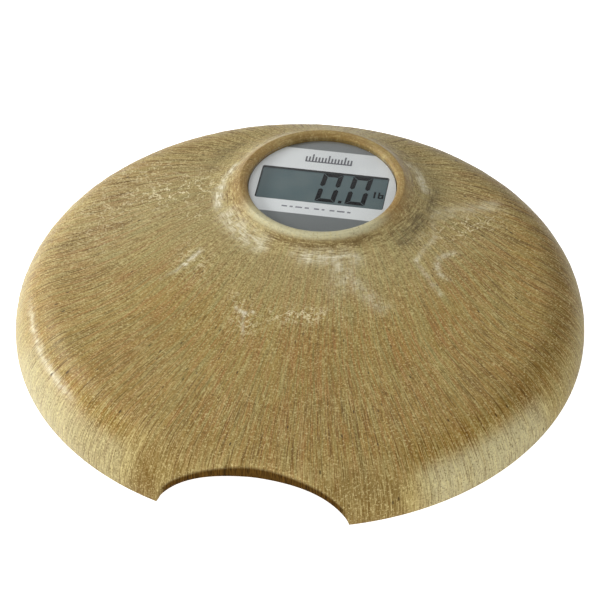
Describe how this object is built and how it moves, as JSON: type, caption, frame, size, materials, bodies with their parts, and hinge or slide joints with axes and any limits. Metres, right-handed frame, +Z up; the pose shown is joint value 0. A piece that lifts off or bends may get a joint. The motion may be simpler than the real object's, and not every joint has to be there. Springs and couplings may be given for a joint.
{
  "type": "digital bathroom scale",
  "caption": "Round low bathroom scale with a pressed fibre platform, a round display sunk in a raised crater and a finger notch in the near rim.",
  "frame": {"origin": "middle of the footprint, on the floor under the feet", "axes": "+Z up, +X to the right of a person standing on the scale, +Y from the finger notch towards the display"},
  "size_m": [0.3218, 0.3132, 0.0464],
  "materials": {
    "fibre": "satin pressed plant fibre with radiating streaks",
    "lens": "clear gloss",
    "print": "metallic printed film",
    "foam": "matte foam",
    "inner_plastic": "moulded matte",
    "button_plastic": "moulded matte",
    "foot_plastic": "moulded matte",
    "lcd": "grey-green reflective LCD",
    "foil": "brushed foil",
    "board": "solder mask",
    "epoxy": "cast epoxy",
    "tray_plastic": "spark-eroded texture",
    "rubber": "matte",
    "steel": "zinc plated",
    "nickel": "nickel plated",
    "battery_wrap": "plain sleeve",
    "label": "blank sticker",
    "wire_red": "PVC insulation",
    "wire_black": "PVC insulation",
    "wire_white": "PVC insulation"
  },
  "bodies": {
    "platform": {"platform_shell": "fibre", "display_lens": "lens", "display_mask": "print", "lens_gasket": "foam", "display_cup": "inner_plastic", "lcd_panel": "lcd", "lcd_reflector": "foil", "lcd_ribbon_near": "inner_plastic", "lcd_ribbon_far": "inner_plastic", "main_board": "board", "controller_chip": "epoxy", "unit_switch": "epoxy", "base_tray": "tray_plastic", "battery_1": "battery_wrap", "battery_2": "battery_wrap", "contact_spring_1": "nickel", "contact_spring_2": "nickel", "contact_plate_1": "nickel", "contact_plate_2": "nickel", "rating_label": "label", "battery_lead_red": "wire_red", "battery_lead_black": "wire_black", "load_cell_near_left": "steel", "cell_holder_near_left": "inner_plastic", "cell_lead_near_left": "wire_white", "load_cell_near_right": "steel", "cell_holder_near_right": "inner_plastic", "cell_lead_near_right": "wire_white", "load_cell_far_left": "steel", "cell_holder_far_left": "inner_plastic", "cell_lead_far_left": "wire_white", "load_cell_far_right": "steel", "cell_holder_far_right": "inner_plastic", "cell_lead_far_right": "wire_white", "tray_screw_1": "steel", "tray_screw_2": "steel", "tray_screw_3": "steel", "tray_screw_4": "steel", "tray_screw_5": "steel", "tray_screw_6": "steel", "tray_screw_7": "steel", "tray_screw_8": "steel", "display_screw_1": "steel", "display_screw_2": "steel", "display_screw_3": "steel", "display_screw_4": "steel"},
    "door": {"battery_door": "tray_plastic"},
    "button": {"unit_button": "button_plastic"},
    "foot_near_left": {"foot_cap_near_left": "foot_plastic", "foot_pad_near_left": "rubber"},
    "foot_near_right": {"foot_cap_near_right": "foot_plastic", "foot_pad_near_right": "rubber"},
    "foot_far_left": {"foot_cap_far_left": "foot_plastic", "foot_pad_far_left": "rubber"},
    "foot_far_right": {"foot_cap_far_right": "foot_plastic", "foot_pad_far_right": "rubber"}
  },
  "joints": [
    {"name": "door_slide", "type": "slide", "parent": "platform", "child": "door", "axis": [0, -1, 0], "range_m": [0, 0.022]},
    {"name": "button_press", "type": "slide", "parent": "platform", "child": "button", "axis": [0, 0, 1], "range_m": [0, 0.001], "stiffness_N_per_m": 1500, "springref_m": -0.0006},
    {"name": "foot_near_left_press", "type": "slide", "parent": "platform", "child": "foot_near_left", "axis": [0, 0, 1], "range_m": [0, 0.0005], "stiffness_N_per_m": 100000, "springref_m": -0.0001},
    {"name": "foot_near_right_press", "type": "slide", "parent": "platform", "child": "foot_near_right", "axis": [0, 0, 1], "range_m": [0, 0.0005], "stiffness_N_per_m": 100000, "springref_m": -0.0001},
    {"name": "foot_far_left_press", "type": "slide", "parent": "platform", "child": "foot_far_left", "axis": [0, 0, 1], "range_m": [0, 0.0005], "stiffness_N_per_m": 100000, "springref_m": -0.0001},
    {"name": "foot_far_right_press", "type": "slide", "parent": "platform", "child": "foot_far_right", "axis": [0, 0, 1], "range_m": [0, 0.0005], "stiffness_N_per_m": 100000, "springref_m": -0.0001}
  ]
}
